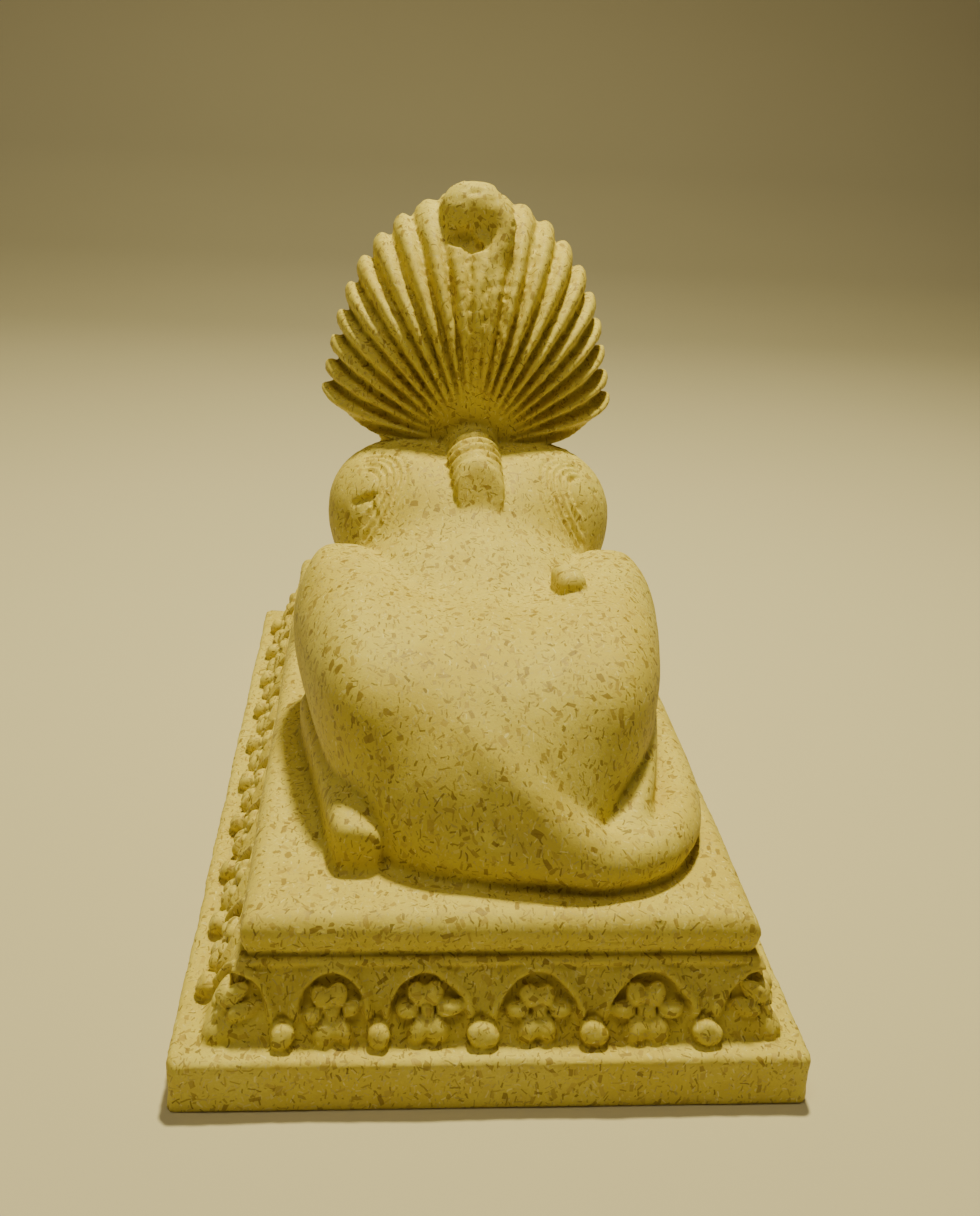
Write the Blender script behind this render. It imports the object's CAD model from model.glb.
# A souvenir sphinx of cast stone on its plinth, carved as one closed surface.
# Forms are in millimetres in the model's frame, and the mesh is in metres.
import math
from concurrent.futures import ThreadPoolExecutor

import bpy
import numpy as np
from mathutils import Matrix, Vector


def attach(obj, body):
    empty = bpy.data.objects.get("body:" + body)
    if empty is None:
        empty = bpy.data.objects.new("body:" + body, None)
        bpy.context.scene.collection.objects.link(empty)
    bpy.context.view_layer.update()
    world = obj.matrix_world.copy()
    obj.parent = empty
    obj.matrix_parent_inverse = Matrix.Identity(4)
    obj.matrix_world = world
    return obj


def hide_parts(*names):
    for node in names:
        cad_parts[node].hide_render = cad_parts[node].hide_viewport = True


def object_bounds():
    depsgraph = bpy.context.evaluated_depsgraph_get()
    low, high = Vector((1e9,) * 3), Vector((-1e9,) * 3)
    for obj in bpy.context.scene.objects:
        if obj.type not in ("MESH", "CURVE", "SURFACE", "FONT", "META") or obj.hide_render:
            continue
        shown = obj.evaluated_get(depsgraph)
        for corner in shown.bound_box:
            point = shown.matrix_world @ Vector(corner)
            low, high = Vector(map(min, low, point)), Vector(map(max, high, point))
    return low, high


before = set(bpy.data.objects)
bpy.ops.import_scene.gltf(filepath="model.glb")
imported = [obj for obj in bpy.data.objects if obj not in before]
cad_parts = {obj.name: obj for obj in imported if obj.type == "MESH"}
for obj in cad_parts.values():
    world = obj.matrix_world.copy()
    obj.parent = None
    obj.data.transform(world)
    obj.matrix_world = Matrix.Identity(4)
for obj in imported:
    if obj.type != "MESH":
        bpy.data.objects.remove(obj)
cad_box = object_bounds()

STEP = 0.42
TRIANGLES = 196000
WORKERS = 4
FAR = 40.0
PAD = 9.0

# Plinth.
SLAB_HALF, SLAB_TOP, SLAB_EDGE = (45.0, 82.5), 8.0, 1.0
FRIEZE_HEIGHT = 10.2
FRIEZE_FOOT, FRIEZE_HEAD = (41.9, 79.4), (37.4, 74.9)
TOP_HALF, TOP_SHIFT, TOP_EDGE = (37.0, 74.5), -1.2, 3.0
FRIEZE_TOP = SLAB_TOP + FRIEZE_HEIGHT
PLINTH_TOP = 25.5
FIGURE_TOP = 91.0
CORNER = 1.5
ARCH_PITCH, ARCH_GAP = 15.0, 0.35
RECESS, SPANDREL = 1.9, 0.85
BLOSSOM_SHARE = 0.43  # height of a blossom's middle on the frieze
BLOSSOM_SUNK = 1.0
BUD_HEIGHT = 1.8
ARCH_OVER = 0.35  # an arch's head lies this far above the frieze's own edge
RIM_AT, RIM_HALF = 0.7, 0.8
RECESS_FROM, RECESS_TO = 1.3, 2.1
COLLAR_RADIUS, COLLAR_HALF, COLLAR_DEPTH = 2.25, 0.45, 0.8
REAR_BEND = 2.6  # how unevenly the arches of the rear face are set
CHIP_AT, CHIP_RADIUS = (45.4, 82.7, 8.6), 1.9  # a chip off one corner of the slab

# Forms of the figure: x outwards from the middle, y towards the tail, z up from
# the plinth's top. A blob is centre, radii, and how square it is in plan and side.
RUMP = ((0, 35.5, 5), (23.8, 30.3, 25), 2.5, 2)
TRUNK = ((0, -2, 15), (22.6, 38, 20.3), 3, 2.7)
TRUNK_RISE = 0.19
CHEST = ((0, -27, 21), (20.5, 16.5, 21), 2.2, 2.2)
SHOULDER = ((13.6, -17, 30.6), (13.4, 15, 12.2), 2.4, 2.2)
WITHERS = ((0, -16, 29.5), (17, 17, 12.8), 2.4, 2.2)
UPPER_ARM = ((14.5, -18, 14), (7.6, 11, 15), 2.2, 2.2)
HAUNCH = ((19, 27, 18.3), (10.9, 28, 12.8), 2.9, 2.35)
HAUNCH_TURN = 10
KNEE = ((23.4, 10, 20.6), (6.3, 9.6, 10.3), 3.2, 3.6)
FOOT = (
    (19.4, 61.2, 3.9, 3.4), (20.8, 54, 4.6, 3.8), (22, 46, 5.1, 3.9), (25.1, 30, 5.4, 3.7),
    (26.6, 18, 4.6, 4),
)
HEEL_END = 62.6
ANKLE = ((21.2, 54.5, 5.8), (2.7, 8, 2.4), 2.2, 2.2)
# The right foot's sole stands up as a fold, with shallow ground on both of its sides.
SOLE_FOLD = (
    (-20.4, 61.5, 4.6, 2), (-22, 56.5, 7, 2), (-23.6, 51, 9.2, 2), (-24.9, 45, 11, 2.1),
    (-26.4, 36, 12.4, 2.2), (-27.8, 27, 12.4, 2.2),
)
SOLE_INNER = ((-9, 61, 2.2, 4), (-17.5, 61, 2.4, 4), (-20, 50, 4.6, 3.2), (-23, 38, 6.5, 3))
SOLE_OUTER = ((-24.5, 60, 1.4, 3), (-27, 52, 1.4, 3), (-28, 42, 1.4, 2.8), (-28.5, 30, 1.4, 2.6))
FORELEG = ((20, -13, 7.5, 7.6), (18, -32, 6.6, 6.5), (15.6, -52, 5.6, 5.8))
PAW = ((15, -62.3, 4.4), (7.2, 8.1, 6.2), 2.6, 2.2)
TAIL = (
    (4, 55.5, 19, 3), (-2.5, 60.8, 14, 3.6), (-7, 63, 9.6, 4), (-11.5, 64.6, 6, 4.2),
    (-16, 65.2, 3.8, 3.8), (-21, 64, 3.4, 3.7), (-25.4, 60.6, 3.4, 3.7), (-28.6, 55, 3.4, 3.7),
    (-30.7, 46, 3.4, 3.6), (-31.5, 36, 3.4, 3.4), (-31.9, 18, 3.3, 3.2), (-31.6, 4, 3.3, 3.2),
    (-30.4, -6, 3.5, 3.6), (-29.2, -13, 3.8, 4),
)
TAIL_ROOT = ((11, 57, 3.5, 4), (0, 62.6, 4.4, 4.3), (-8, 64.4, 4.2, 4.2), (-14, 65, 3.6, 3.8))
NECK = ((0, -33, 44), (12, 10, 18), 2, 2)
# How widely each form runs into what it grows from.
BLEND = {
    "torso": 7, "arm": 5, "paw": 2.5, "leg": 2.5, "knee": 4, "thigh": 1.6, "ankle": 1.5,
    "heel": 1.6, "foot": 0.7, "sole": 1.2, "tail_root": 3, "tail": 2.2, "neck": 4, "figure": 1.5,
}
SOFTER_BY, SOFTER_FROM, SOFTER_TO = 5.5, 12, 32  # the haunch runs into the back more softly there
QUEUE = ((0, -18, 43, 5.3), (0, -9, 41.6, 5.4), (-0.8, 0.6, 38.8, 4.5))
QUEUE_END, QUEUE_LEAN = (0.9, 38.9), 25
RING_PITCH, RING_DEPTH = 2.5, 1.3

# Head cloth, fanned out from the root of the queue.
ROOT_Y, ROOT_Z = -17.5, 43.0
REACH, SIDE_DROP, SIDE_TURN, WIDEST = 45.6, 15.0, 1.2, 76.0
BULGE, RAKE, FRONT = 4.6, 13.5, -40.0
RIM_LOW, RIM_RISE, RIM_BLEND, HALF_WIDTH = 42.2, 6.2, 2.5, 29.2
EDGE, CLOTH_SLOPE, FRONT_SHARE = 3.4, 0.85, 0.45
RIB_FIRST, RIB_GROWTH, RIB_DEPTH = 6.2, 0.16, 2.7
CAP = ((0, -38.5, 67), (17.5, 17, 20.5), 2.2, 2.2)
CAP_FLOOR = 74.5
BAND_FLOOR, BAND_TOP, BAND_OUT = 72.6, 76.0, 0.7
SNAKE = ((0, -33, 88, 2), (0, -44, 84, 2.2), (0, -53.5, 79, 2.2), (0, -57, 74.5, 2.3))
HOOD = ((0, -57.3, 74.2), (2.9, 1.7, 4.4), 2, 2)
FACE = ((0, -42, 60), (13, 14, 15.5), 2.3, 2.2)
CHIN = ((0, -52.2, 47.6), (4.8, 3.6, 3.4), 2, 2)
CHEEK = ((6.4, -49.5, 56), (5.2, 5, 6), 2, 2)
EYE_HOLLOW = ((5.6, -55.6, 63.4), (3.9, 2.4, 2.5), 2, 2)
EYEBALL = ((5.5, -52.2, 63), (3.1, 2.6, 1.9), 2, 2)
NOSE = ((0, -54.8, 64.5, 1.3), (0, -57.2, 58.6, 2))
NOSTRIL = ((1.8, -55.6, 57.9), (1.4, 1.6, 1.3), 2, 2)
UPPER_LIP = ((0, -55.4, 54.2), (3.6, 1.5, 0.9), 2, 2)
LOWER_LIP = ((0, -55, 52.5), (3, 1.4, 0.95), 2, 2)
EAR = ((14.2, -43, 61.5), (1.7, 3.2, 5), 2, 2)
EAR_HOLLOW = ((15.6, -43.6, 62), (1.1, 1.6, 3), 2, 2)
LAPPET_TOP, LAPPET_FOOT = (14.2, -38, 50), (10.2, -44.5, 25)
LAPPET_HALF, LAPPET_EDGE = (5.2, 2.6), 1.2


# Ways to join distances. A blend of k rounds the join over about k.

def smin(a, b, k):
    h = np.maximum(k - np.abs(a - b), 0) / k
    return np.minimum(a, b) - h * h * (k / 4)


def smax(a, b, k):
    return -smin(-a, -b, k)


def round_max(a, b, radius):
    p, q = a + radius, b + radius
    outside = np.hypot(np.maximum(p, 0), np.maximum(q, 0))
    return outside + np.minimum(np.maximum(p, q), 0) - radius


def smoothstep(x, low, high):
    t = np.clip((x - low) / (high - low), 0, 1)
    return t * t * (3 - 2 * t)


def power(x, p):
    return x * x if p == 2 else np.power(np.abs(x), p)


def only_near(x, y, z, low, high, distance, pad=PAD):
    """The distance inside a padded box, and a far value elsewhere."""
    inside = (x > low[0] - pad) & (x < high[0] + pad)
    inside &= (y > low[1] - pad) & (y < high[1] + pad)
    inside &= (z > low[2] - pad) & (z < high[2] + pad)
    d = np.full(x.shape, FAR, np.float32)
    if inside.any():
        d[inside] = distance(x[inside], y[inside], z[inside])
    return d


def blob(form, x, y, z, rise=0.0, turn=0.0):
    c, r, plan, side = form
    turn = math.radians(turn)
    cos, sin = math.cos(turn), math.sin(turn)

    def distance(x, y, z):
        dx, dy = x - c[0], y - c[1]
        dz = z - c[2] + rise * dy
        dx, dy = dx * cos + dy * sin, dy * cos - dx * sin
        flat = power(dx / r[0], plan) + power(dy / r[1], plan)
        flat = power(flat, side / plan)
        k = power(flat + power(dz / r[2], side), 1 / side)
        far = np.sqrt(dx * dx + dy * dy + dz * dz)
        return np.where(k < 1e-5, -min(r), far * (1 - 1 / np.maximum(k, 1e-5)))

    pad = PAD + abs(rise) * r[1] + abs(sin) * max(r)
    low = [c[i] - r[i] for i in range(3)]
    high = [c[i] + r[i] for i in range(3)]
    return only_near(x, y, z, low, high, distance, pad)


def curved(chain, steps=3):
    """A chain with more points, on a smooth curve through the given ones."""
    p = np.array([chain[0], *chain, chain[-1]], float)
    made = []
    for i in range(1, len(p) - 2):
        for k in range(steps):
            t = k / steps
            ahead = p[i + 1] - p[i - 1]
            bend = 2 * p[i - 1] - 5 * p[i] + 4 * p[i + 1] - p[i + 2]
            twist = 3 * (p[i] - p[i + 1]) + p[i + 2] - p[i - 1]
            made.append(tuple(p[i] + 0.5 * t * (ahead + t * (bend + t * twist))))
    return (*made, tuple(p[-1]))


def limb(chain, x, y, z, blend=0.0, pad=PAD, walled=False):
    """A chain of tapers. A walled one is round on top and stands on straight sides."""
    points = np.array(chain, float)
    low = (points[:, :3] - points[:, 3:]).min(0)
    high = (points[:, :3] + points[:, 3:]).max(0)
    if walled:
        low[2] = -FAR

    def distance(x, y, z):
        d = None
        for a, b in zip(chain, chain[1:]):
            ax, ay, az = b[0] - a[0], b[1] - a[1], b[2] - a[2]
            px, py, pz = x - a[0], y - a[1], z - a[2]
            if walled:
                t = np.clip((px * ax + py * ay) / (ax * ax + ay * ay), 0, 1)
                up = np.maximum(pz - az * t, 0)
            else:
                t = np.clip((px * ax + py * ay + pz * az) / (ax * ax + ay * ay + az * az), 0, 1)
                up = pz - az * t
            far = np.sqrt((px - ax * t) ** 2 + (py - ay * t) ** 2 + up**2)
            piece = far - (a[3] + (b[3] - a[3]) * t)
            if d is None:
                d = piece
            else:
                d = smin(d, piece, blend) if blend else np.minimum(d, piece)
        return d

    return only_near(x, y, z, low, high, distance, pad)


# The lion's body.

TOE_GROOVES, TOE_DEPTH = (-3.5, 0.0, 3.5), 0.9


def paw_toes(side, y, z):
    """Grooves between four toes at the front of a paw."""
    front = smoothstep(-y, 62.5, 67.5) * smoothstep(z, -0.5, 2.0)
    d = 0.0
    for at in TOE_GROOVES:
        d = d + np.exp(-(((side - PAW[0][0] - at) / 0.55) ** 2))
    return TOE_DEPTH * d * front


def groove(x, y, z, a, b, wide, deep):
    """A cut along the straight line from a to b."""
    along = [b[i] - a[i] for i in range(3)]
    off = [x - a[0], y - a[1], z - a[2]]
    t = sum(off[i] * along[i] for i in range(3)) / sum(v * v for v in along)
    t = np.clip(t, 0, 1)
    far2 = sum((off[i] - along[i] * t) ** 2 for i in range(3))
    return deep * np.exp(-far2 / wide**2)


# Cuts on the back, each from one point to another, with its width and depth.
CUTS = (
    ((22, -5, 35), (18.2, -4.6, 36.6), 0.5, 1.4),
    ((18.8, -4, 35.8), (17.6, -0.2, 32.4), 0.4, 0.9),
    ((-22.4, -8.6, 36.8), (-18.2, -8.4, 39.4), 0.6, 1.0),
    ((21, 8.6, 29), (14.5, -0.5, 35.5), 0.45, 0.7),
)
WHORL_AT, STRAND_PITCH, STRAND_DEPTH = (20.3, -6.4), 1.3, 0.8
SPINE_OFF, SPINE_RISE = 0.6, 0.95
PIT_AT, PIT_DEPTH = (15.3, 41.3, 29.7), 1.1


def back_carving(x, y, z):
    """Strands round each shoulder, cuts beside them, a soft spine and a pit."""
    side = np.abs(x)
    reach = np.hypot(side - WHORL_AT[0], (y - WHORL_AT[1]) * 0.95)
    strand = 0.5 + 0.5 * np.cos(2 * np.pi * reach / STRAND_PITCH)
    inwards = smoothstep(21.3 - side, 0, 2.5) * smoothstep(z, 26, 30)
    shown = smoothstep(reach, 1.6, 2.6) * smoothstep(-reach, -9.6, -6.5) * inwards
    carved = STRAND_DEPTH * strand**1.5 * shown
    for start, end, wide, deep in CUTS:
        carved = carved + groove(x, y, z, start, end, wide, deep)
    wide = 5.0 - 2.4 * smoothstep(y, 2, 30)
    spine = np.exp(-(((x + SPINE_OFF) / wide) ** 2))
    spine = spine * smoothstep(y, -6, 2) * smoothstep(-y, -44, -26)
    carved = carved - SPINE_RISE * spine * smoothstep(z, 22, 27)
    pit2 = sum((v - at) ** 2 for v, at in zip((x, y, z), PIT_AT))
    return carved + PIT_DEPTH * np.exp(-pit2 / 0.5)


NUB = ((-14.3, 22.8, 30.8), (2.5, 4.2, 2.8), 5, 2.8)
NUB_CHIP = ((-17, 25.4, 29.9), (1.3, 1.3, 1.2), 3, 2)
FOOT_CURVE, TAIL_CURVE = curved(FOOT), curved(TAIL)
ROOT_CURVE, FOLD_CURVE = curved(TAIL_ROOT), curved(SOLE_FOLD)


def sole(x, y, z):
    ground = np.minimum(
        limb(SOLE_INNER, x, y, z, walled=True), limb(SOLE_OUTER, x, y, z, walled=True))
    return smin(limb(FOLD_CURVE, x, y, z, walled=True), ground, 1.6)


def body(x, y, z):
    side = np.abs(x)
    d = blob(RUMP, x, y, z)
    d = smin(d, blob(TRUNK, x, y, z, rise=TRUNK_RISE), BLEND["torso"])
    d = smin(d, blob(CHEST, x, y, z), BLEND["torso"])
    d = smin(d, blob(WITHERS, x, y, z), BLEND["torso"])
    d = smin(d, blob(SHOULDER, side, y, z), BLEND["torso"])
    d = smin(d, blob(UPPER_ARM, side, y, z), BLEND["arm"])
    paw = blob(PAW, side, y, z) + paw_toes(side, y, z)
    leg = smin(limb(FORELEG, side, y, z), paw, BLEND["paw"])
    d = smin(d, leg, BLEND["leg"])
    haunch = blob(HAUNCH, side, y, z, turn=HAUNCH_TURN)
    thigh = smin(haunch, blob(KNEE, side, y, z), BLEND["knee"])
    d = smin(d, thigh, BLEND["thigh"] + SOFTER_BY * smoothstep(y, SOFTER_FROM, SOFTER_TO))
    shin = limb(FOOT_CURVE, side, y, z, walled=True)
    foot = smin(shin, blob(ANKLE, side, y, z), BLEND["ankle"])
    d = smin(d, smax(foot, y - HEEL_END, BLEND["heel"]), BLEND["foot"])
    d = smin(d, only_near(x, y, z, (-31, 27, -9), (-5, 65, 15), sole, 3), BLEND["sole"])
    d = smin(d, limb(ROOT_CURVE, x, y, z), BLEND["tail_root"])
    d = smin(d, limb(TAIL_CURVE, x, y, z), BLEND["tail"])
    return smin(d, blob(NECK, x, y, z), BLEND["neck"]) + back_carving(x, y, z)


# The head cloth's ribs, numbered outwards from the middle, each a little wider.

def rib_phase(degrees):
    far = np.abs(degrees)
    return (np.sqrt(RIB_FIRST**2 + 4 * RIB_GROWTH * far) - RIB_FIRST) / (2 * RIB_GROWTH)


def rib_carving(degrees, reach, outline=REACH):
    phase = rib_phase(degrees)
    off = np.abs(np.sin(np.pi * (phase - np.floor(phase + 0.5))))
    tip = smoothstep(reach / outline, 0.86, 1.0)
    crested = off ** (2.2 + 1.6 * tip)
    rounded = 0.4 * off**2 + 0.6 * off**6
    sideways = smoothstep(np.abs(degrees), 18, 58)
    valley = rounded + (crested - rounded) * sideways
    grown = smoothstep(reach, 6, 19)
    centre = 0.4 + 0.6 * smoothstep(np.abs(degrees), 3, 14)
    return RIB_DEPTH * valley * grown * centre * (1 - 0.35 * tip)


def fan(x, y, z):
    up = z - ROOT_Z
    reach = np.hypot(x, up)
    degrees = np.degrees(np.arctan2(x, up))
    angle = np.minimum(np.abs(degrees), WIDEST)
    outline = REACH - SIDE_DROP * np.sin(np.radians(angle * SIDE_TURN)) ** 2
    t = np.minimum(reach / outline, 1.2)
    bulge = BULGE * np.sin(np.pi * np.minimum(t, 1)) * np.cos(np.radians(angle)) ** 2
    back = ROOT_Y + bulge - RAKE * t**3
    rim = RIM_LOW + RIM_RISE * np.minimum(np.abs(x) / HALF_WIDTH, 1.1) ** 3
    carved = rib_carving(degrees, reach, outline)
    d = smax(reach - outline, (y - back) * CLOTH_SLOPE, 2 * EDGE)
    d = smax(d + carved, FRONT - y + FRONT_SHARE * carved, EDGE)
    return smax(d, rim - z, RIM_BLEND)


def queue(x, y, z):
    lean = math.radians(QUEUE_LEAN)
    end = (y - QUEUE_END[0]) * math.cos(lean) + (z - QUEUE_END[1]) * math.sin(lean)
    along = y + 17 - 0.22 * x + 0.03 * x * x - 0.25 * (z - 42)
    bands = np.abs(np.sin(np.pi * along / RING_PITCH)) ** 0.7
    shown = smoothstep(y, -16.5, -14.5) * (1 - 0.7 * smoothstep(y, -7, -3))
    d = limb(QUEUE, x, y, z, pad=4) + RING_DEPTH * (1 - bands) * shown
    return smax(d, end, 0.8)


def lappet(side, y, z):
    t = np.clip((z - LAPPET_FOOT[2]) / (LAPPET_TOP[2] - LAPPET_FOOT[2]), 0, 1)
    dx = side - (LAPPET_FOOT[0] + (LAPPET_TOP[0] - LAPPET_FOOT[0]) * t)
    dy = y - (LAPPET_FOOT[1] + (LAPPET_TOP[1] - LAPPET_FOOT[1]) * t)
    dz = np.abs(z - (LAPPET_FOOT[2] + LAPPET_TOP[2]) / 2)
    dz = dz - (LAPPET_TOP[2] - LAPPET_FOOT[2]) / 2 + LAPPET_EDGE
    px = np.abs(dx) - LAPPET_HALF[0] + LAPPET_EDGE
    py = np.abs(dy) - LAPPET_HALF[1] + LAPPET_EDGE
    outside = np.sqrt(sum(np.maximum(v, 0) ** 2 for v in (px, py, dz)))
    inside = np.minimum(np.maximum(np.maximum(px, py), dz), 0)
    pleat = np.abs(np.sin(np.pi * (z - LAPPET_FOOT[2] + 0.06 * dx * dx) / 2.1)) ** 0.7
    return outside + inside - LAPPET_EDGE + 0.45 * (1 - pleat)


def face(x, y, z):
    side = np.abs(x)
    d = smin(blob(FACE, x, y, z), blob(CHEEK, side, y, z), 4)
    d = smin(d, blob(CHIN, x, y, z), 3)
    d = smax(d, -blob(EYE_HOLLOW, side, y, z), 1.6)
    d = smin(d, blob(EYEBALL, side, y, z), 0.4)
    # Upper and lower lids, as two low arcs round the eye.
    eye_x, _, eye_z = EYEBALL[0]
    off = np.abs(side - eye_x)
    bow = (side - eye_x) / 3.6
    upper = np.hypot(z - (eye_z + 1.75 * (1 - bow * bow)), np.maximum(off - 3.4, 0))
    lower = np.hypot(z - (eye_z - 1.35 * (1 - bow * bow)), np.maximum(off - 3.2, 0))
    d = d - 0.42 * np.exp(-((upper / 0.42) ** 2)) - 0.26 * np.exp(-((lower / 0.42) ** 2))
    brow = np.hypot(z - (67.6 - 0.055 * (side - 6) ** 2), np.maximum(np.abs(side - 6) - 4.2, 0))
    d = d - 0.45 * np.exp(-((brow / 0.7) ** 2)) * smoothstep(-y, 47, 50)
    d = smin(d, limb(NOSE, x, y, z, 2, 5), 1.4)
    d = smin(d, blob(NOSTRIL, side, y, z), 0.8)
    d = smin(d, blob(UPPER_LIP, x, y, z), 0.8)
    d = smin(d, blob(LOWER_LIP, x, y, z), 0.8)
    parting = np.hypot(z - 53.35 - 0.02 * side * side, np.maximum(side - 3.9, 0))
    d = d + 0.45 * np.exp(-((parting / 0.35) ** 2)) * smoothstep(-y, 52, 54)
    d = smin(d, blob(EAR, side, y, z), 0.8)
    return smax(d, -blob(EAR_HOLLOW, side, y, z), 0.6)


COIL_CORE = ((1.2, -30, 84.9), (5.9, 6.2, 5.9), 2.2, 2.2)
COIL_CURL = curved((
    (-1.2, -28.4, 87.4, 2.6), (-3.9, -26.4, 85, 2.7), (-4.6, -24.4, 81.4, 2.3),
    (-3.2, -22.2, 77.8, 1.9), (-1.4, -20.2, 74, 1.4), (-0.4, -18.2, 69, 1), (0.2, -16.6, 63.5, 0.7),
))
RECESS_WIDE = ((3.3, -23.8, 80.9), (2.7, 1.7, 1.8), 2, 2)
RECESS_DEEP = ((0.8, -22.8, 79.7), (1.9, 1.5, 1.2), 2, 2)
CURL_MARK = ((4.2, -26, 87.2), (0.2, -25.6, 89.2))


def coil(x, y, z):
    """The snake's coil on the crown, curling over a recess and running down the middle."""
    d = smin(blob(COIL_CORE, x, y, z), limb(COIL_CURL, x, y, z, pad=4), 2.0)
    return d + groove(x, y, z, *CURL_MARK, 0.6, 0.5)


def recess(x, y, z):
    return smin(blob(RECESS_WIDE, x, y, z), blob(RECESS_DEEP, x, y, z), 0.8)


def head(x, y, z):
    side = np.abs(x)
    d = face(x, y, z)
    around = blob(FACE, x, y, z + 2.5) - BAND_OUT
    band = np.maximum(np.maximum(around, BAND_FLOOR - z), z - BAND_TOP)
    d = smin(d, band, 0.6)
    cap = smax(blob(CAP, x, y, z), CAP_FLOOR - z, 1.5)
    over = rib_phase(np.degrees(np.arctan2(x, z - 62.0)))
    pleats = np.abs(np.sin(np.pi * (over - np.floor(over + 0.5)))) ** 3
    cap = cap + 0.5 * pleats * smoothstep(z, CAP_FLOOR, CAP_FLOOR + 3)
    cloth = smin(fan(x, y, z), cap, 2.5)
    cloth = smin(cloth, only_near(side, y, z, (4, -48, 23), (20, -34, 52), lappet, 4), 1)
    cloth = smin(cloth, coil(x, y, z), 0.9)
    cloth = smax(cloth, -recess(x, y, z), 0.6)
    d = smin(d, cloth, 0.6)
    snake = smin(limb(SNAKE, x, y, z, 1, 5), blob(HOOD, x, y, z), 1)
    ribs = np.abs(np.sin(np.pi * (z - 70) / 1.5)) ** 0.7
    snake = snake + 0.2 * (1 - ribs) * smoothstep(-y, 57.5, 58.5)
    d = smin(d, snake, 0.8)
    return smin(d, blob(NECK, x, y, z), BLEND["neck"])


def figure(x, y, z):
    d = body(x, y, z)
    d = smin(d, np.minimum(blob(NUB, x, y, z, turn=6), blob(NUB_CHIP, x, y, z)), 0.5)
    upper = only_near(x, y, z, (-36, -64, 24), (36, -6, 92), head, 3)
    d = smin(d, upper, 0.6)
    tail = only_near(x, y, z, (-6, -20, 32), (6, 3, 47), queue, 3)
    return smin(d, tail, 0.5)


# The frieze: arches with blossoms between buds, drawn on faces that lean back.

def arch_outline(u, v, half, head):
    """Distance to an arch that is widest at its foot, below nought inside it."""
    up = np.maximum(v, 0)
    k = np.sqrt((u / half) ** 2 + (up / head) ** 2.3)
    return np.hypot(u, up) * (1 - 1 / np.maximum(k, 1e-3))


# Lobes of a blossom: its direction from the top, how far out, length and width.
PETALS = ((27, 2.6, 1.75, 1.4), (86, 2.9, 1.75, 1.15), (153, 2.9, 2.1, 1.65))


def blossom(u, v, w):
    side = np.abs(u)
    d = None
    for turn, out, long, wide in PETALS:
        sin, cos = math.sin(math.radians(turn)), math.cos(math.radians(turn))
        along = side * sin + v * cos - out
        across = side * cos - v * sin
        k = np.sqrt((along / long) ** 2 + (across / wide) ** 2 + (w / 1.6) ** 2)
        far = np.sqrt(along**2 + across**2 + w**2)
        petal = far * (1 - 1 / np.maximum(k, 1e-3))
        petal = petal + 0.14 * np.exp(-((across / 0.3) ** 2)) * smoothstep(-along, -1.2, 0.6)
        d = petal if d is None else smin(d, petal, 0.12)
    button = np.sqrt(u * u + v * v + (w * 0.9) ** 2) - 1.05
    return smin(d, button, 0.3)


def bud(u, v, w):
    k = np.sqrt((u / 2.0) ** 2 + (v / 2.0) ** 2 + (w / 1.8) ** 2)
    d = np.sqrt(u * u + v * v + w * w) * (1 - 1 / np.maximum(k, 1e-3))
    dish = np.exp(-((np.hypot(u, v) / 0.8) ** 2)) * smoothstep(w, 0.2, 1)
    return d + 0.4 * dish


def bead(u, v, w, index, seed):
    """A small casting bubble, on one side or the other of an arch's foot."""
    at_u = 3.9 * np.sign(uneven(index, seed)) + 0.9 * uneven(index, seed + 1)
    at_v = 3.6 + 2.4 * uneven(index, seed + 2)
    return np.sqrt((u - at_u) ** 2 + (v - at_v) ** 2 + (w + 1.9) ** 2) - 0.55


def uneven(index, seed):
    """A steady pseudo-random value from -1 to 1 for each number."""
    value = np.sin(index * 12.9898 + seed * 78.233) * 43758.5453
    return 2 * (value - np.floor(value)) - 1


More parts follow.
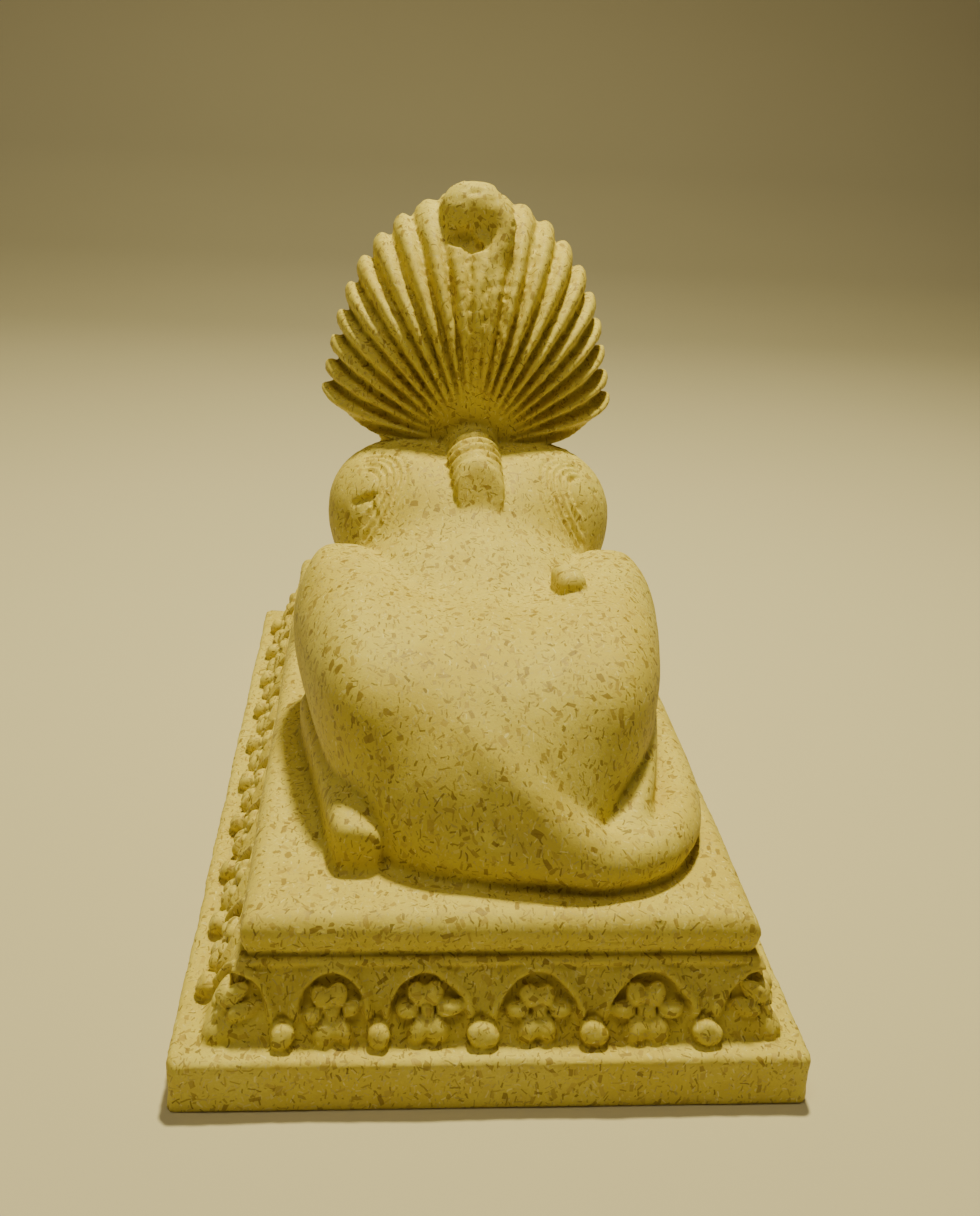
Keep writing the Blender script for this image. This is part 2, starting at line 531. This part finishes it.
def frieze_face(along, out, h, foot, top, run, seed, bend=0.0):
    """Distance to one carved face, and to the blossoms and buds on it."""
    batter = math.atan2(foot - top, FRIEZE_HEIGHT)
    sin, cos = math.sin(batter), math.cos(batter)
    w = (out - foot) * cos + h * sin
    v = -(out - foot) * sin + h * cos
    slant = FRIEZE_HEIGHT / cos
    near = (w > -4.5) & (w < 4)
    face, raised = w.copy(), np.full(w.shape, FAR, np.float32)
    if not near.any():
        return face, raised
    u, v, w = along[near], v[near], w[near]
    count = round(2 * run / ARCH_PITCH)
    pitch = 2 * run / count
    u = u + 0.18 * np.sin(v * 0.9 + u * 0.37) + 0.12 * np.sin(u * 1.13 + 1.0)
    u = u - bend * (np.cos(np.pi * u / (2 * run)) + 0.5 * np.exp(-(((u - 11) / 7) ** 2)))
    index = np.clip(np.floor((u + run) / pitch + 0.5), 0, count)
    du = u + run - index * pitch
    half = pitch / 2 - ARCH_GAP
    s = arch_outline(du * (1 + 0.03 * uneven(index, seed)), v, half, slant + ARCH_OVER)
    rim = np.exp(-(((s + RIM_AT) / RIM_HALF) ** 4))
    recess = smoothstep(-s, RECESS_FROM, RECESS_TO)
    sunk = RECESS - 0.9 * smoothstep(-v, -7, -1.5)
    dv = v - 1.6
    mid = np.abs(du) - pitch / 2
    round_bud = np.hypot(mid, v - BUD_HEIGHT) - COLLAR_RADIUS
    collar = np.exp(-((round_bud / COLLAR_HALF) ** 2))
    spread = np.arctan2(mid, np.maximum(dv, 0.2))
    lines = 0.13 * np.exp(-((np.abs(np.mod(spread * 5.5, 1) - 0.5) / 0.16) ** 2))
    lines = lines * smoothstep(dv, 2.5, 4.5) * smoothstep(s, 0.1, 0.6)
    depth = SPANDREL * (1 - rim) * (1 - recess) + sunk * recess + lines - 0.2 * rim
    depth = depth + COLLAR_DEPTH * collar * (1 - recess)
    face[near] = w + depth * smoothstep(slant + 0.6 - v, 0, 0.8)
    turn = 0.16 * uneven(index, seed + 1)
    bu = du - 0.35 * uneven(index, seed + 2)
    bv = v - slant * BLOSSOM_SHARE - 0.25 * uneven(index, seed + 3)
    bu, bv = bu * np.cos(turn) - bv * np.sin(turn), bv * np.cos(turn) + bu * np.sin(turn)
    size = 1 + 0.07 * uneven(index, seed + 4)
    flower = blossom(bu / size, bv / size, w + BLOSSOM_SUNK)
    flower = np.minimum(flower, bead(du, v, w, index, seed + 6))
    flower = np.minimum(flower, bead(-du, v - 1.4, w, index, seed + 9))
    flower = np.where((index > 0.5) & (index < count - 0.5), flower, FAR)
    between = np.floor((u + run) / pitch)
    knob = bud(mid * np.sign(du), v - BUD_HEIGHT - 0.12 * uneven(between, seed + 5), w + 0.1)
    knob = np.where(np.abs(u) < run - 2, knob, FAR)
    raised[near] = np.minimum(flower, knob)
    return face, raised


def frieze(x, y, z):
    h = z - SLAB_TOP
    side_top = (FRIEZE_HEAD[0] + TOP_SHIFT, FRIEZE_HEAD[0] - TOP_SHIFT)
    d, raised = frieze_face(
        x - TOP_SHIFT, y, h, FRIEZE_FOOT[1], FRIEZE_HEAD[1], FRIEZE_HEAD[0], 1, bend=REAR_BEND)
    faces = (
        (x - TOP_SHIFT, -y, FRIEZE_FOOT[1], FRIEZE_HEAD[1], FRIEZE_HEAD[0], 11),
        (y, x, FRIEZE_FOOT[0], side_top[0], FRIEZE_HEAD[1], 21),
        (y, -x, FRIEZE_FOOT[0], side_top[1], FRIEZE_HEAD[1], 31),
    )
    for along, out, foot, top, run, seed in faces:
        other, more = frieze_face(along, out, h, foot, top, run, seed)
        d = smax(d, other, 0.5)
        raised = np.minimum(raised, more)
    # A blossom bends round each corner.
    for sx in (-1, 1):
        for sy in (-1, 1):
            top_x = FRIEZE_HEAD[0] + sx * TOP_SHIFT
            cx = FRIEZE_FOOT[0] + (top_x - FRIEZE_FOOT[0]) * BLOSSOM_SHARE
            cy = FRIEZE_FOOT[1] + (FRIEZE_HEAD[1] - FRIEZE_FOOT[1]) * BLOSSOM_SHARE
            px, py, pz = sx * x - cx, sy * y - cy, h - FRIEZE_HEIGHT * BLOSSOM_SHARE
            near = (np.abs(px) < 9) & (np.abs(py) < 9) & (np.abs(pz) < 8)
            if not near.any():
                continue
            px, py, pz = px[near], py[near], pz[near]
            u = (px - py) / math.sqrt(2) * sx * sy
            w = (px + py) / math.sqrt(2) + 0.45 * pz
            wrap = np.sqrt(u * u + 0.6)
            raised[near] = np.minimum(raised[near], blossom(1.2 * u, pz + 0.3, w + wrap + 1.4))
    d = smin(d, raised, 0.45)
    return np.maximum(np.maximum(d, -h - 1), h - FRIEZE_HEIGHT - 1)


def plan_distance(x, y, half, radius):
    px, py = np.abs(x) - half[0] + radius, np.abs(y) - half[1] + radius
    outside = np.hypot(np.maximum(px, 0), np.maximum(py, 0))
    return outside + np.minimum(np.maximum(px, py), 0) - radius


# How far the top slab's side steps in at each depth below its top.
MOULDING = (
    (-9, 1.5), (-7.3, 1.5), (-6.6, 1.2), (-6.2, 1.0), (-5.7, 0.95), (-5.3, 0.6), (-4.8, 0.5),
    (-4.3, 0.2), (-4.0, 0.16), (-3.75, 0.3), (-3.4, 0.04), (-3, 0), (9, 0),
)


def plinth(x, y, z):
    edge = 0.12 + 0.1 * np.sin(x * 0.21 + 2) + 0.08 * np.sin(y * 0.17) + 0.05 * np.sin(y * 0.63 + 1)
    side = plan_distance(x, y, SLAB_HALF, CORNER) + edge * smoothstep(z, 1, 3)
    slab = round_max(side, z - SLAB_TOP, SLAB_EDGE)
    cx, cy, cz = CHIP_AT
    chip = np.sqrt((x - cx) ** 2 + (y - cy) ** 2 + ((z - cz) * 0.8) ** 2) - CHIP_RADIUS
    slab = smax(slab, -chip, 0.5)
    slab = np.maximum(slab, -z)
    carved = only_near(x, y, z, (-43, -81, 6), (43, 81, 20), frieze, 3)
    depth, inset = np.array(MOULDING).T
    below = z - PLINTH_TOP
    wobble = 0.12 * np.sin(x * 0.16 + 1.1) + 0.1 * np.sin(y * 0.11 + 0.4) + 0.06 * np.sin(x * 0.5)
    top = plan_distance(x - TOP_SHIFT, y, TOP_HALF, CORNER) + 0.15
    top = top + np.interp(below + wobble, depth, inset) + wobble * 0.6
    top = np.maximum(round_max(top, below, TOP_EDGE), FRIEZE_TOP - 0.5 - z)
    return np.minimum(np.minimum(slab, carved), top).astype(np.float32)


def whole(x, y, z):
    """Distance to the casting's surface, below nought inside it."""
    base = plinth(x, y, z)
    up = z - PLINTH_TOP
    high = up > -6
    if high.any():
        base[high] = smin(base[high], figure(x[high], y[high], up[high]), BLEND["figure"])
    return base


# Surface of the distance: values near the surface on a fine grid, then one point in
# each cell that it crosses and one quad round each grid edge that it crosses.

def in_chunks(distance, points, size=120000):
    parts = [points[i:i + size] for i in range(0, len(points), size)]

    def one(p):
        return distance(*np.ascontiguousarray(p.T)).astype(np.float32)

    with ThreadPoolExecutor(WORKERS) as pool:
        return np.concatenate(list(pool.map(one, parts)))


def grid_values(distance, low, high, step, block=5, reach=3.2):
    low, high = np.array(low, float), np.array(high, float)
    blocks = np.ceil((high - low) / (step * block)).astype(int)
    corner = np.indices(blocks).reshape(3, -1).T
    middle = low + (corner * block + (block - 1) / 2) * step
    centre = in_chunks(distance, middle.astype(np.float32))
    shape = blocks * block
    values = np.repeat(np.repeat(np.repeat(
        np.sign(centre).reshape(blocks).astype(np.float32), block, 0), block, 1), block, 2)
    active = corner[np.abs(centre) < reach + step * block * 0.3]
    inner = np.indices((block,) * 3).reshape(3, -1).T
    nodes = (active[:, None] * block + inner[None]).reshape(-1, 3)
    found = in_chunks(distance, (low + nodes * step).astype(np.float32))
    values[nodes[:, 0], nodes[:, 1], nodes[:, 2]] = np.where(np.abs(found) < 1e-4, 1e-4, found)
    print("grid", tuple(shape), "nodes", len(nodes))
    return values, low


def surface_net(values, low, step):
    inside = values < 0
    near = [slice(None, -1), slice(1, None)]
    corners = [(a, b, c) for a in (0, 1) for b in (0, 1) for c in (0, 1)]
    count = sum(inside[near[a], near[b], near[c]].astype(np.uint8) for a, b, c in corners)
    crossed = (count > 0) & (count < 8)
    cells = np.argwhere(crossed)
    ids = np.full(crossed.shape, -1, np.int32)
    ids[crossed] = np.arange(len(cells))
    at = {c: values[tuple((cells + c).T)] for c in corners}
    total, hits = np.zeros((len(cells), 3)), np.zeros(len(cells))
    for a in corners:
        for axis in range(3):
            if a[axis]:
                continue
            b = tuple(v + (i == axis) for i, v in enumerate(a))
            cut = (at[a] < 0) != (at[b] < 0)
            t = at[a][cut] / (at[a][cut] - at[b][cut])
            point = np.tile(np.array(a, float), (len(t), 1))
            point[:, axis] = t
            total[cut] += point
            hits[cut] += 1
    points = low + step * (cells + total / hits[:, None])
    quads = []
    for axis in range(3):
        p, q = (axis + 1) % 3, (axis + 2) % 3
        span = [slice(1, -1)] * 3
        first, second = list(span), list(span)
        first[axis], second[axis] = slice(None, -1), slice(1, None)
        a, b = inside[tuple(first)], inside[tuple(second)]
        for outwards in (True, False):
            here = np.argwhere((a != b) & (a == outwards))
            here[:, p] += 1
            here[:, q] += 1
            ring = []
            for dp, dq in ((-1, -1), (0, -1), (0, 0), (-1, 0)):
                cell = here.copy()
                cell[:, p] += dp
                cell[:, q] += dq
                ring.append(ids[tuple(cell.T)])
            ring = np.stack(ring, 1)
            quads.append(ring if outwards else ring[:, ::-1])
    return points, np.concatenate(quads)


# Noise for hand-made unevenness, steady from run to run.

def lattice(ix, iy, iz, seed):
    n = ix * 374761393 + iy * 668265263 + iz * 2147483647 + seed * 1274126177
    n = (n ^ (n >> 13)) * 1274126177
    n = n ^ (n >> 16)
    return (n & 0xFFFF) / 32767.5 - 1


def noise(points, scale, seed):
    """Smooth noise from about -1 to 1, with features of the given size."""
    p = points / scale
    cell = np.floor(p).astype(np.int64)
    t = p - cell
    t = t * t * (3 - 2 * t)
    total = 0
    for dx in (0, 1):
        for dy in (0, 1):
            for dz in (0, 1):
                weight = (t[:, 0] if dx else 1 - t[:, 0])
                weight = weight * (t[:, 1] if dy else 1 - t[:, 1])
                weight = weight * (t[:, 2] if dz else 1 - t[:, 2])
                total = total + weight * lattice(
                    cell[:, 0] + dx, cell[:, 1] + dy, cell[:, 2] + dz, seed)
    return total


def mesh_of(name, points, faces):
    mesh = bpy.data.meshes.new(name)
    sides = faces.shape[1]
    mesh.vertices.add(len(points))
    mesh.vertices.foreach_set("co", points.astype(np.float32).ravel())
    mesh.loops.add(faces.size)
    mesh.loops.foreach_set("vertex_index", faces.astype(np.int32).ravel())
    mesh.polygons.add(len(faces))
    mesh.polygons.foreach_set("loop_start", np.arange(0, faces.size, sides, dtype=np.int32))
    mesh.polygons.foreach_set("loop_total", np.full(len(faces), sides, np.int32))
    mesh.update(calc_edges=True)
    mesh.validate()
    return mesh


def normals_of(points, quads):
    a, b = points[quads[:, 2]] - points[quads[:, 0]], points[quads[:, 3]] - points[quads[:, 1]]
    flat = np.cross(a, b)
    total = np.zeros_like(points)
    for i in range(4):
        for axis in range(3):
            total[:, axis] += np.bincount(quads[:, i], flat[:, axis], len(points))
    return total / np.maximum(np.linalg.norm(total, axis=1), 1e-9)[:, None]


ROUGH_FIGURE, ROUGH_TOP_SLAB, ROUGH_FRIEZE, ROUGH_SLAB = 0.035, 0.06, 0.1, 0.05
ROUGH_CLOTH, ROUGH_VALLEY, ROUGH_MIDDLE = 0.05, 0.22, 0.12


def roughness_of(points):
    """How coarse the casting is at each point, in millimetres."""
    x, y, z = points.T
    up = z - PLINTH_TOP
    rough = np.full(len(points), ROUGH_FIGURE)
    rough[z < PLINTH_TOP - 0.6] = ROUGH_TOP_SLAB
    rough[z < FRIEZE_TOP] = ROUGH_FRIEZE
    rough[z < SLAB_TOP - 1.2] = ROUGH_SLAB
    cloth = (up > 40) & (y > -44) & (y < -8)
    reach = np.hypot(x, up - ROOT_Z)
    degrees = np.degrees(np.arctan2(x, up - ROOT_Z))
    carved = rib_carving(degrees, reach) / RIB_DEPTH
    middle = np.exp(-((x / 9) ** 2)) * smoothstep(up, 55, 66)
    return np.where(cloth, ROUGH_CLOTH + ROUGH_VALLEY * carved + ROUGH_MIDDLE * middle, rough)


def weathered(points, quads):
    normals = normals_of(points, quads)
    rough = roughness_of(points)
    grain = 0.55 * noise(points, 1.3, 1) + 0.45 * noise(points, 0.7, 2)
    swell = 0.07 * noise(points, 9, 3) + 0.05 * noise(points, 4, 4)
    moved = points + normals * (rough * 1.6 * grain + swell - 0.05)[:, None]
    bottom = points[:, 2] < 0.35
    moved[bottom] = points[bottom]
    low = np.array(cad_box[0]) * 1000
    high = np.array(cad_box[1]) * 1000
    return np.clip(moved, low, high)


# How far out each probe lies, and its share in the whole.
PROBES = ((0.8, 0.4), (1.8, 0.35), (4.0, 0.25))


def sheltered(points, normals):
    """How far each point lies in a groove or corner, from 0 in the open to 1."""
    open_way = np.zeros(len(points), np.float32)
    for out, share in PROBES:
        free = in_chunks(whole, points + normals * np.float32(out))
        open_way += share * np.clip(free / out, 0, 1)
    return np.clip(1.12 * (1 - open_way), 0, 1)


def casting():
    low = [-SLAB_HALF[0] - 3 * STEP, -SLAB_HALF[1] - 3 * STEP, -3 * STEP]
    high = [SLAB_HALF[0] + 3 * STEP, SLAB_HALF[1] + 3 * STEP, PLINTH_TOP + FIGURE_TOP + 3 * STEP]
    values, origin = grid_values(whole, low, high, STEP)
    points, quads = surface_net(values, origin, STEP)
    points = weathered(points, quads)
    dense = bpy.data.objects.new("dense", mesh_of("dense", points / 1000, quads))
    bpy.context.scene.collection.objects.link(dense)
    fewer = dense.modifiers.new("fewer", "DECIMATE")
    fewer.ratio = min(1.0, TRIANGLES / (2 * len(quads)))
    fewer.use_collapse_triangulate = True
    graph = bpy.context.evaluated_depsgraph_get()
    mesh = bpy.data.meshes.new_from_object(dense.evaluated_get(graph))
    bpy.data.objects.remove(dense, do_unlink=True)
    mesh.name = "sphinx_casting"
    mesh.polygons.foreach_set("use_smooth", np.ones(len(mesh.polygons), bool))
    places = np.empty(3 * len(mesh.vertices), np.float32)
    mesh.vertices.foreach_get("co", places)
    places = np.clip(places.reshape(-1, 3), cad_box[0], cad_box[1])
    mesh.vertices.foreach_set("co", places.ravel())
    mesh.update()
    normals = np.empty(3 * len(mesh.vertices), np.float32)
    mesh.vertices.foreach_get("normal", normals)
    shelter = mesh.attributes.new("shelter", "FLOAT", "POINT")
    shelter.data.foreach_set("value", sheltered(places * 1000, normals.reshape(-1, 3)))
    piece = bpy.data.objects.new("sphinx_casting", mesh)
    bpy.context.scene.collection.objects.link(piece)
    print("quads", len(quads), "triangles", len(mesh.polygons))
    return piece


# Materials.

def srgb(r, g, b):
    def linear(v):
        v = v / 255
        return v / 12.92 if v <= 0.04045 else ((v + 0.055) / 1.055) ** 2.4
    return (linear(r), linear(g), linear(b), 1.0)


class Nodes:
    """Short calls that add and link the nodes of one material."""

    def __init__(self, name):
        self.material = bpy.data.materials.new(name)
        self.material.use_nodes = True
        self.tree = self.material.node_tree
        self.shader = self.tree.nodes["Principled BSDF"]

    def put(self, socket, value):
        if isinstance(value, bpy.types.NodeSocket):
            self.tree.links.new(value, socket)
        else:
            socket.default_value = value

    def node(self, kind, inputs=(), **settings):
        made = self.tree.nodes.new(kind)
        for key, value in settings.items():
            setattr(made, key, value)
        for key, value in dict(inputs).items():
            self.put(made.inputs[key], value)
        return made

    def maths(self, operation, a, b=0.0):
        return self.node("ShaderNodeMath", {0: a, 1: b}, operation=operation).outputs[0]

    def vector(self, operation, a, b=(0, 0, 0)):
        made = self.node("ShaderNodeVectorMath", {0: a, 1: b}, operation=operation)
        return made.outputs[1 if operation in ("LENGTH", "DOT_PRODUCT") else 0]

    def spread(self, value, low, high, start=0.0, end=1.0):
        made = self.node("ShaderNodeMapRange", {
            "Value": value, "From Min": low, "From Max": high, "To Min": start, "To Max": end,
        }, interpolation_type="SMOOTHSTEP")
        return made.outputs["Result"]

    def mix(self, share, a, b):
        made = self.node("ShaderNodeMix", data_type="RGBA")
        self.put(made.inputs["Factor"], share)
        self.put(made.inputs[6], a)
        self.put(made.inputs[7], b)
        return made.outputs[2]

    def noise(self, where, scale, detail=3.0, roughness=0.55):
        made = self.node("ShaderNodeTexNoise", {
            "Vector": where, "Scale": scale, "Detail": detail, "Roughness": roughness})
        return made.outputs["Fac"]


def flakes(n, where, scale, size, share):
    """Flat chips, one in a share of the cells, each turned its own way: a mask, and a tone."""
    cell = n.node("ShaderNodeTexVoronoi", {"Vector": where, "Scale": scale, "Randomness": 1.0})
    off = n.vector("SUBTRACT", where, cell.outputs["Position"])
    turn = n.vector("MULTIPLY", cell.outputs["Color"], (6.283, 6.283, 6.283))
    turned = n.node("ShaderNodeVectorRotate", {"Vector": off, "Rotation": turn},
                    rotation_type="EULER_XYZ").outputs[0]
    shape = n.vector("ABSOLUTE", n.vector("DIVIDE", turned, size))
    parts = n.node("ShaderNodeSeparateXYZ", {0: shape})
    largest = n.maths("MAXIMUM", parts.outputs[0], parts.outputs[1])
    largest = n.maths("MAXIMUM", largest, parts.outputs[2])
    chosen = n.node("ShaderNodeTexWhiteNoise", {"Vector": cell.outputs["Position"]})
    present = n.maths("LESS_THAN", chosen.outputs["Value"], share)
    mask = n.maths("MULTIPLY", n.spread(largest, 1.0, 0.86), present)
    tone = n.node("ShaderNodeSeparateXYZ", {0: chosen.outputs["Color"]}).outputs[1]
    return mask, tone


def stone_material():
    n = Nodes("cast_stone_flaked")
    place = n.node("ShaderNodeTexCoord").outputs["Object"]
    mm = n.vector("MULTIPLY", place, (1000.0, 1000.0, 1000.0))
    warp = n.node("ShaderNodeTexNoise", {"Vector": mm, "Scale": 0.8, "Detail": 1.0})
    shift = n.vector("SUBTRACT", warp.outputs["Color"], (0.5, 0.5, 0.5))
    where = n.vector("ADD", mm, n.vector("MULTIPLY", shift, (0.5, 0.5, 0.5)))
    broad = n.noise(mm, 0.06, 3)
    patch = n.noise(mm, 0.35, 4, 0.6)
    grain = n.noise(mm, 2.6, 4, 0.65)
    base = n.mix(n.spread(broad, 0.35, 0.65), srgb(222, 204, 92), srgb(230, 216, 108))
    base = n.mix(n.spread(patch, 0.42, 0.75, 0.0, 0.5), base, srgb(208, 186, 92))
    base = n.mix(n.spread(grain, 0.3, 0.75, 0.25, 0.0), base, srgb(180, 155, 66))
    big, big_tone = flakes(n, where, 0.5, (0.9, 0.56, 0.32), 0.6)
    thin, thin_tone = flakes(n, where, 0.7, (0.85, 0.45, 0.12), 0.8)
    aside = n.vector("ADD", where, (37.0, 11.0, 23.0))
    more, more_tone = flakes(n, aside, 0.85, (0.65, 0.36, 0.1), 0.9)
    fine, fine_tone = flakes(n, where, 1.3, (0.5, 0.24, 0.1), 0.85)
    dark = n.mix(big_tone, srgb(134, 106, 38), srgb(198, 174, 84))
    thin_colour = n.mix(thin_tone, srgb(100, 74, 22), srgb(190, 165, 76))
    more_colour = n.mix(more_tone, srgb(136, 108, 40), srgb(246, 236, 160))
    fine_colour = n.mix(fine_tone, srgb(148, 120, 50), srgb(240, 226, 140))
    base = n.mix(n.maths("MULTIPLY", fine, 0.6), base, fine_colour)
    base = n.mix(n.maths("MULTIPLY", more, 0.7), base, more_colour)
    base = n.mix(n.maths("MULTIPLY", thin, 0.7), base, thin_colour)
    base = n.mix(n.maths("MULTIPLY", big, 0.75), base, dark)
    shelter = n.node("ShaderNodeAttribute", attribute_name="shelter").outputs["Fac"]
    base = n.mix(n.spread(shelter, 0.35, 1.0, 0.0, 0.25), base, srgb(146, 116, 50))
    n.put(n.shader.inputs["Base Color"], base)
    chips = n.maths("MAXIMUM", big, thin)
    rough = n.spread(grain, 0.3, 0.7, 0.6, 0.76)
    rough = n.maths("SUBTRACT", rough, n.maths("MULTIPLY", chips, 0.14))
    n.put(n.shader.inputs["Roughness"], rough)
    n.put(n.shader.inputs["Specular IOR Level"], 0.35)
    n.put(n.shader.inputs["Subsurface Weight"], 0.12)
    n.put(n.shader.inputs["Subsurface Radius"], (1.0, 0.8, 0.45))
    n.put(n.shader.inputs["Subsurface Scale"], 0.0012)
    pits = n.node("ShaderNodeTexVoronoi", {"Vector": where, "Scale": 0.55}).outputs["Distance"]
    pits = n.spread(pits, 0.05, 0.16)
    height = n.maths("ADD", n.maths("MULTIPLY", grain, 0.5), n.maths("MULTIPLY", pits, 0.35))
    height = n.maths("SUBTRACT", height, n.maths("MULTIPLY", chips, 0.12))
    bump = n.node("ShaderNodeBump", {"Strength": 0.35, "Distance": 0.0003, "Height": height})
    n.put(n.shader.inputs["Normal"], bump.outputs[0])
    return n.material


def floor_material():
    n = Nodes("pale_floor")
    place = n.node("ShaderNodeTexCoord").outputs["Object"]
    cloud = n.noise(place, 3.0, 4)
    colour = n.mix(cloud, srgb(214, 205, 184), srgb(222, 214, 195))
    n.put(n.shader.inputs["Base Color"], colour)
    n.put(n.shader.inputs["Roughness"], 0.8)
    return n.material


# The object.
piece = casting()
piece.data.materials.clear()
piece.data.materials.append(stone_material())
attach(piece, "root")
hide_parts("sphinx_on_plinth")

# Floor and a gentle rise behind it.
floor_mesh = bpy.data.meshes.new("floor")
across = (-2.4, 2.4)
profile = [(1.4, 0.0), (-0.55, 0.0), (-0.72, 0.02), (-0.85, 0.08), (-0.92, 0.2), (-0.95, 1.8)]
corners = [(x, y, z) for x in across for y, z in profile]
size = len(profile)
sheets = [(i, i + 1, size + i + 1, size + i) for i in range(size - 1)]
floor_mesh.from_pydata(corners, [], sheets)
for polygon in floor_mesh.polygons:
    polygon.use_smooth = True
floor = bpy.data.objects.new("floor", floor_mesh)
bpy.context.scene.collection.objects.link(floor)
floor_mesh.materials.append(floor_material())


def area_light(name, place, aim, size, power, colour):
    data = bpy.data.lights.new(name, "AREA")
    data.shape = "DISK"
    data.size = size
    data.energy = power
    data.color = colour
    light = bpy.data.objects.new(name, data)
    light.location = place
    light.rotation_euler = (Vector(aim) - Vector(place)).to_track_quat("-Z", "Y").to_euler()
    bpy.context.scene.collection.objects.link(light)


area_light("key", (-0.035, -0.12, 0.6), (0, 0.0, 0.05), 0.055, 4.6, (1.0, 0.9, 0.44))
area_light("top", (0.08, 0.16, 0.66), (0, 0.04, 0.03), 0.24, 0.9, (1.0, 0.88, 0.46))

world = bpy.data.worlds.new("studio")
world.use_nodes = True
world.node_tree.nodes["Background"].inputs[0].default_value = (1.0, 0.87, 0.6, 1)
world.node_tree.nodes["Background"].inputs[1].default_value = 0.06
bpy.context.scene.world = world

# Camera, placed as the photograph was taken: behind the sphinx and above it.
PITCH, YAW, ROLL = 21.641, -5.554, 3.203
CAMERA_PLACE = (0.018066, 0.22304, 0.131296)
FOCAL_PIXELS, IMAGE_PIXELS_HIGH, SENSOR = 1290.5, 1216, 36
pitch, yaw, roll = math.radians(PITCH), math.radians(YAW), math.radians(ROLL)
flat = math.cos(pitch)
forward = Vector((math.sin(yaw) * flat, -math.cos(yaw) * flat, -math.sin(pitch)))
level = Vector((-math.cos(yaw), -math.sin(yaw), 0))
upright = level.cross(forward)
right = level * math.cos(roll) + upright * math.sin(roll)
above = upright * math.cos(roll) - level * math.sin(roll)
camera_data = bpy.data.cameras.new("camera")
camera_data.sensor_width = SENSOR
camera_data.lens = SENSOR * FOCAL_PIXELS / IMAGE_PIXELS_HIGH
camera_data.clip_start = 0.01
camera = bpy.data.objects.new("camera", camera_data)
turn = Matrix((right, above, -forward)).transposed().to_4x4()
camera.matrix_world = Matrix.Translation(CAMERA_PLACE) @ turn
bpy.context.scene.collection.objects.link(camera)
bpy.context.scene.camera = camera
